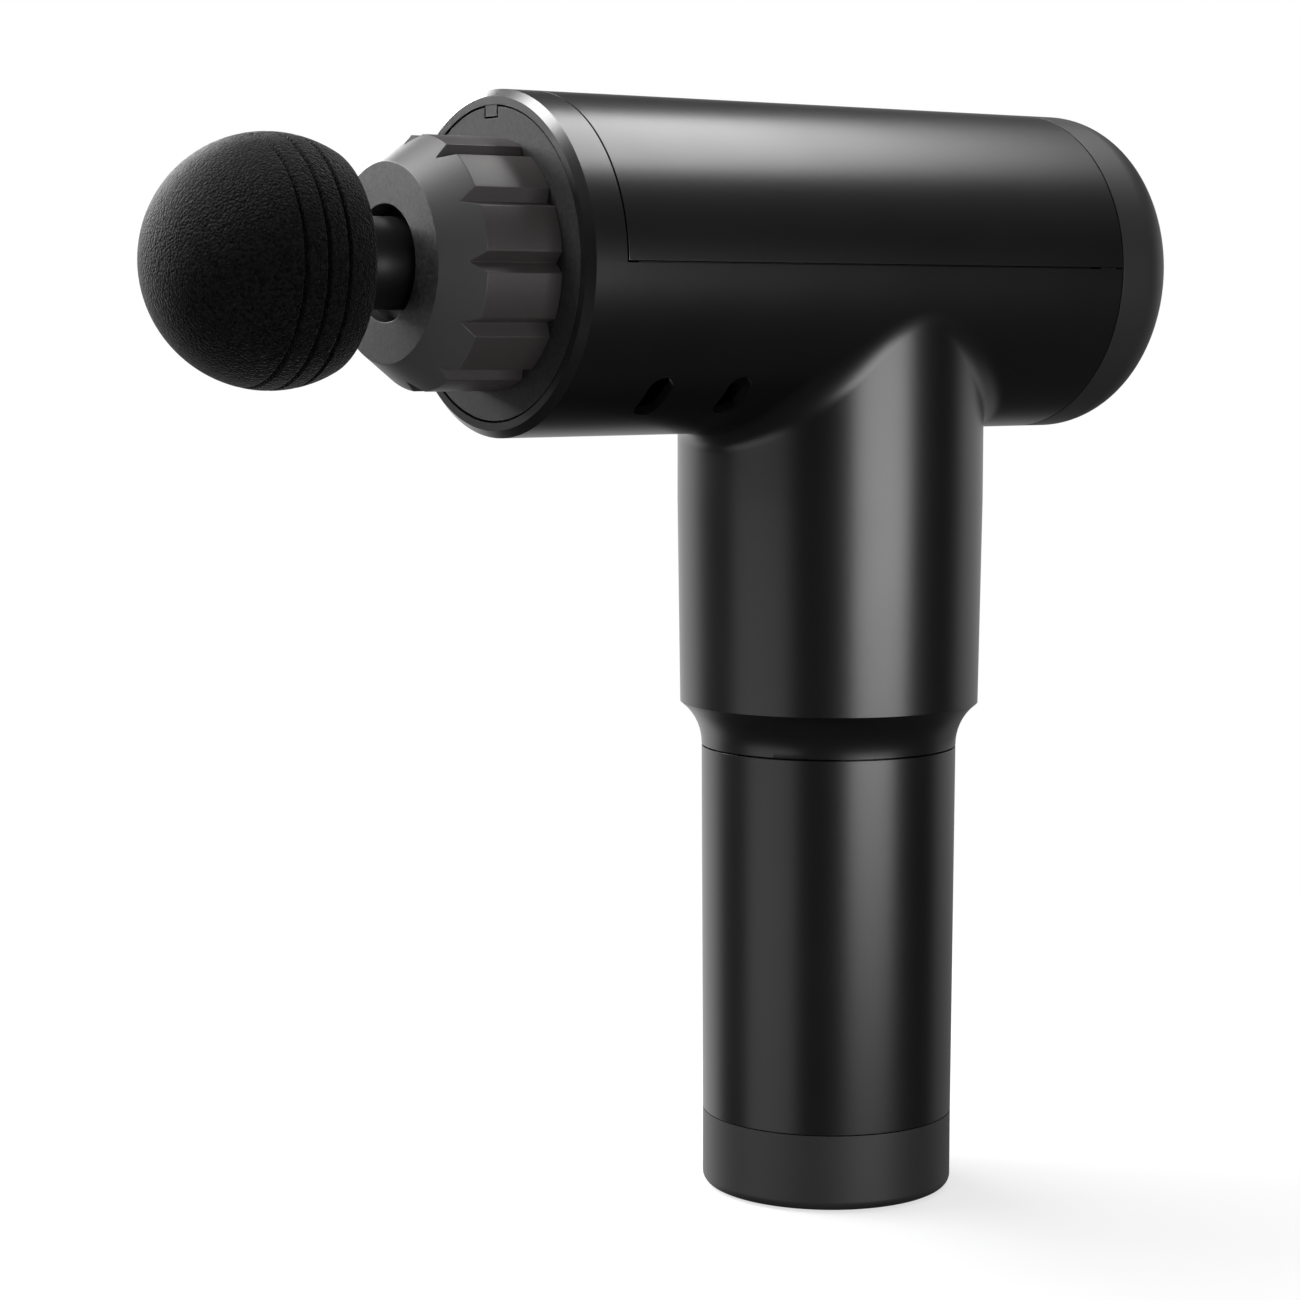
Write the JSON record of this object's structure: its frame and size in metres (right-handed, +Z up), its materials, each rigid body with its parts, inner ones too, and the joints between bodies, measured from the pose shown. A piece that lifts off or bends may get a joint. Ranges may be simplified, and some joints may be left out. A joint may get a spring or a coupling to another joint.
{
  "type": "massage gun",
  "caption": "Cordless percussion massage gun: T-shaped body, fluted nose, round foam head on a crank-driven plunger, and a handle whose lower half is a removable battery.",
  "frame": {"origin": "on the handle's axis, in the plane that the battery's base stands on", "axes": "+Z up along the handle, -X along the barrel towards the massage head, +X towards the rear cap, Y across"},
  "size_m": [0.2212, 0.065, 0.2205],
  "materials": {
    "housing_black": "satin",
    "band_grey": "satin",
    "nose_grey": "satin",
    "plate_grey": "matte",
    "panel_black": "gloss",
    "light_guide": "satin",
    "button_black": "satin",
    "board_green": "matte",
    "screw_steel": "satin",
    "guide_alu": "satin",
    "soft_black": "matte",
    "bush_plastic": "matte",
    "hard_steel": "satin",
    "bronze": "satin",
    "motor_steel": "satin",
    "copper": "satin",
    "contact_gold": "satin",
    "wire_red": "matte",
    "ribbon_grey": "matte",
    "cell_sleeve": "satin",
    "holder_white": "matte",
    "switch_black": "satin",
    "status_green": "gloss",
    "ball_foam": "matte",
    "stem_black": "satin"
  },
  "bodies": {
    "housing": {"main_housing": "housing_black", "top_cover": "housing_black", "rear_cap": "band_grey", "display_panel": "panel_black", "light_ring": "light_guide", "level_lights": "light_guide", "control_board": "board_green", "control_board_screws": "screw_steel", "tact_switch": "switch_black", "front_plate": "plate_grey", "nose_collar": "nose_grey", "nose_wiper": "soft_black", "nose_screws": "screw_steel", "guide_cylinder": "guide_alu", "guide_screws": "screw_steel", "damper_ring": "soft_black", "front_bush": "bush_plastic", "rear_bush": "bush_plastic", "stator_core": "motor_steel", "stator_windings": "copper", "sensor_board": "board_green", "motor_bearing_lower": "hard_steel", "motor_bearing_upper": "hard_steel", "motor_bracket": "guide_alu", "bracket_screws": "screw_steel", "motor_leads": "wire_red", "driver_board": "board_green", "panel_ribbon": "ribbon_grey", "socket_contacts": "contact_gold"},
    "button": {"power_button": "button_black"},
    "rotor": {"crank_disc": "hard_steel", "crank_pin": "hard_steel", "crank_clip": "hard_steel", "motor_shaft": "hard_steel", "rotor_can": "motor_steel", "rotor_magnets": "hard_steel"},
    "rod": {"connecting_rod": "hard_steel", "big_end_bearing": "hard_steel", "small_end_bush": "bronze", "wrist_pin": "hard_steel"},
    "plunger": {"plunger": "guide_alu"},
    "head": {"ball_foam": "ball_foam", "head_stem": "stem_black", "head_o_rings": "soft_black"},
    "battery": {"battery_cap": "housing_black", "contact_pins": "contact_gold", "battery_tube": "housing_black", "cell_holder_top": "holder_white", "cell_holder_bottom": "holder_white", "battery_cells": "cell_sleeve", "nickel_strips": "hard_steel", "protection_board": "board_green", "base_cap": "band_grey", "base_screws": "screw_steel", "charge_jack": "switch_black", "charge_light": "status_green", "switch_frame": "switch_black"},
    "rocker": {"rocker_switch": "switch_black"}
  },
  "joints": [
    {"name": "rotor_spin", "type": "hinge", "parent": "housing", "child": "rotor", "pos_m": [0, 0, 0.188], "axis": [0, 0, 1], "continuous": true},
    {"name": "rod_orbit", "type": "hinge", "parent": "rotor", "child": "rod", "pos_m": [0.005, 0, 0.188], "axis": [0, 0, 1], "continuous": true},
    {"name": "plunger_slide", "type": "slide", "parent": "housing", "child": "plunger", "axis": [-1, 0, 0], "range_m": [0, 0.01]},
    {"name": "head_release", "type": "slide", "parent": "plunger", "child": "head", "axis": [-1, 0, 0], "range_m": [0, 0.03]},
    {"name": "power_button", "type": "slide", "parent": "housing", "child": "button", "axis": [-1, 0, 0], "range_m": [0, 0.0008], "stiffness_N_per_m": 2000},
    {"name": "battery_release", "type": "slide", "parent": "housing", "child": "battery", "axis": [0, 0, -1], "range_m": [0, 0.03]},
    {"name": "rocker_switch", "type": "hinge", "parent": "battery", "child": "rocker", "pos_m": [0, 0.005, 0.0054], "axis": [0, 1, 0], "range_deg": [0, 14]}
  ],
  "couplings": [
    {"joint": "rod_orbit", "follows": "rotor_spin", "ratio": -1}
  ]
}
